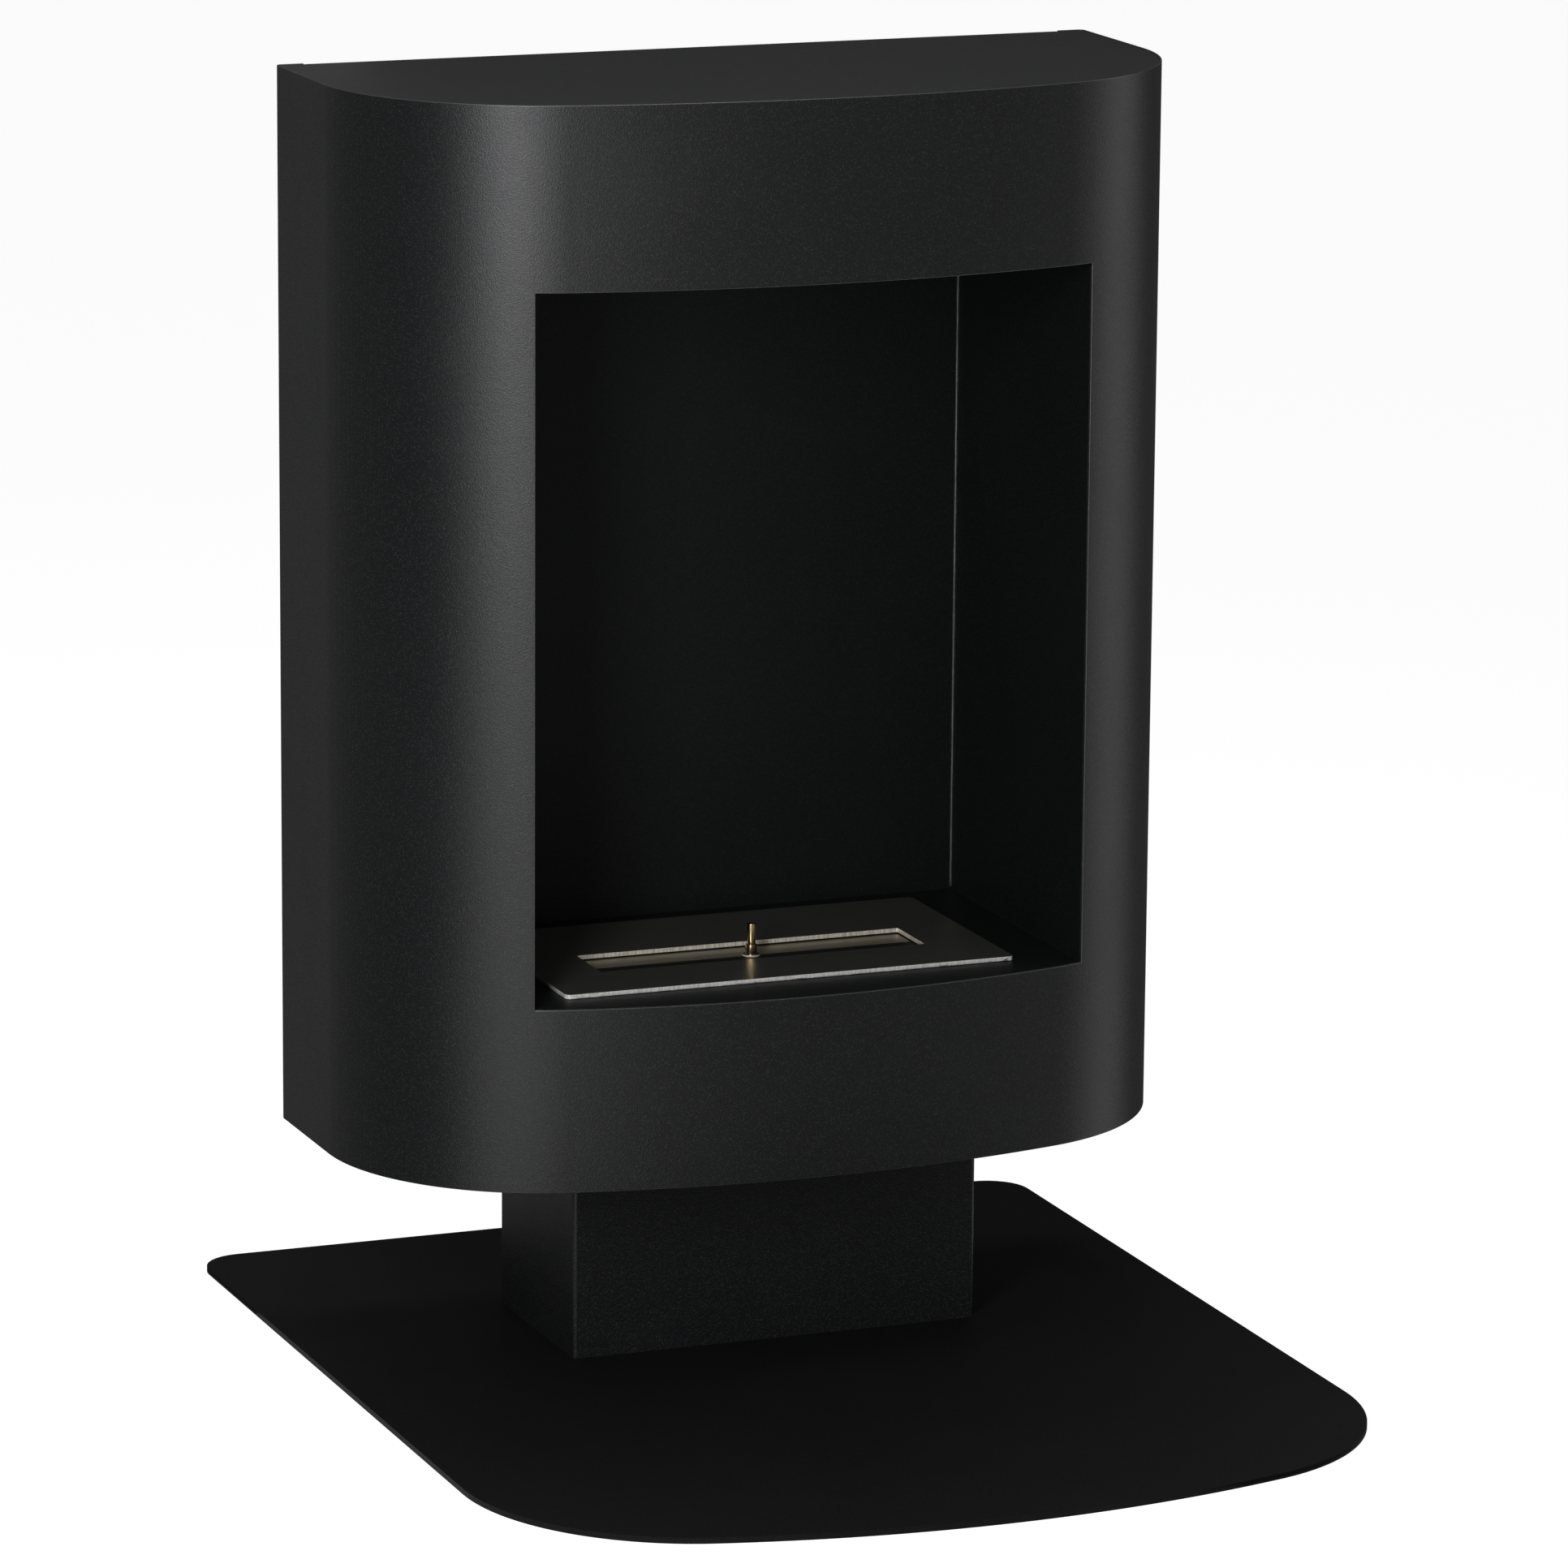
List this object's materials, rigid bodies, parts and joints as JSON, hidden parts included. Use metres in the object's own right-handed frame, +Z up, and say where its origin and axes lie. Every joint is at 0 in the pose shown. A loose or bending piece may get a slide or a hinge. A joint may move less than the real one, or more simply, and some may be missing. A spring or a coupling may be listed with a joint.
{
  "type": "bioethanol fireplace",
  "caption": "Free-standing bow-fronted steel bioethanol fireplace with an open firebox, a lift-out burner with a snuffer lid, a plinth and a floor plate.",
  "frame": {"origin": "centre of the floor plate's underside, where the object stands", "axes": "+Z up, the firebox opens towards -Y, +X to the right of someone who looks along +Y into the firebox"},
  "size_m": [0.638, 0.763, 0.8855],
  "materials": {
    "casing_coat": "charcoal-black satin powder coat with a very fine grain",
    "plate_coat": "matt black fine-textured powder coat",
    "stainless": "polished stainless steel, bright at the cut edges",
    "pin_steel": "polished, warm toned",
    "zinc": "zinc plated",
    "ceramic_fibre": "matt white ceramic fibre felt"
  },
  "bodies": {
    "body": {"floor_plate": "plate_coat", "plinth_shell": "casing_coat", "plate_screw_1": "zinc", "plate_screw_2": "zinc", "plate_screw_3": "zinc", "plate_screw_4": "zinc", "plate_nut_1": "zinc", "plate_nut_2": "zinc", "plate_nut_3": "zinc", "plate_nut_4": "zinc", "casing_nut_1": "zinc", "casing_nut_2": "zinc", "casing_nut_3": "zinc", "casing_nut_4": "zinc", "casing_shell": "casing_coat", "casing_top": "casing_coat", "casing_bottom": "casing_coat", "back_panel": "casing_coat", "casing_bolt_1": "zinc", "casing_bolt_2": "zinc", "casing_bolt_3": "zinc", "casing_bolt_4": "zinc", "panel_screw_1": "zinc", "panel_screw_2": "zinc", "panel_screw_3": "zinc", "panel_screw_4": "zinc", "panel_screw_5": "zinc", "panel_screw_6": "zinc", "panel_screw_7": "zinc", "panel_screw_8": "zinc", "firebox_left": "casing_coat", "firebox_right": "casing_coat", "firebox_top": "casing_coat", "firebox_floor": "casing_coat", "firebox_back": "casing_coat"},
    "burner": {"burner_plate": "stainless", "burner_tray": "stainless", "lid_seat": "stainless", "absorbent_pad": "ceramic_fibre"},
    "lid": {"lid_plate": "stainless", "lid_pin": "pin_steel", "lid_collar": "pin_steel", "lid_nut": "zinc"}
  },
  "joints": [
    {"name": "burner_lift", "type": "slide", "parent": "body", "child": "burner", "axis": [0, 0, 1], "range_m": [0, 0.08]},
    {"name": "lid_lift", "type": "slide", "parent": "burner", "child": "lid", "axis": [0, 0, 1], "range_m": [0, 0.05]}
  ]
}
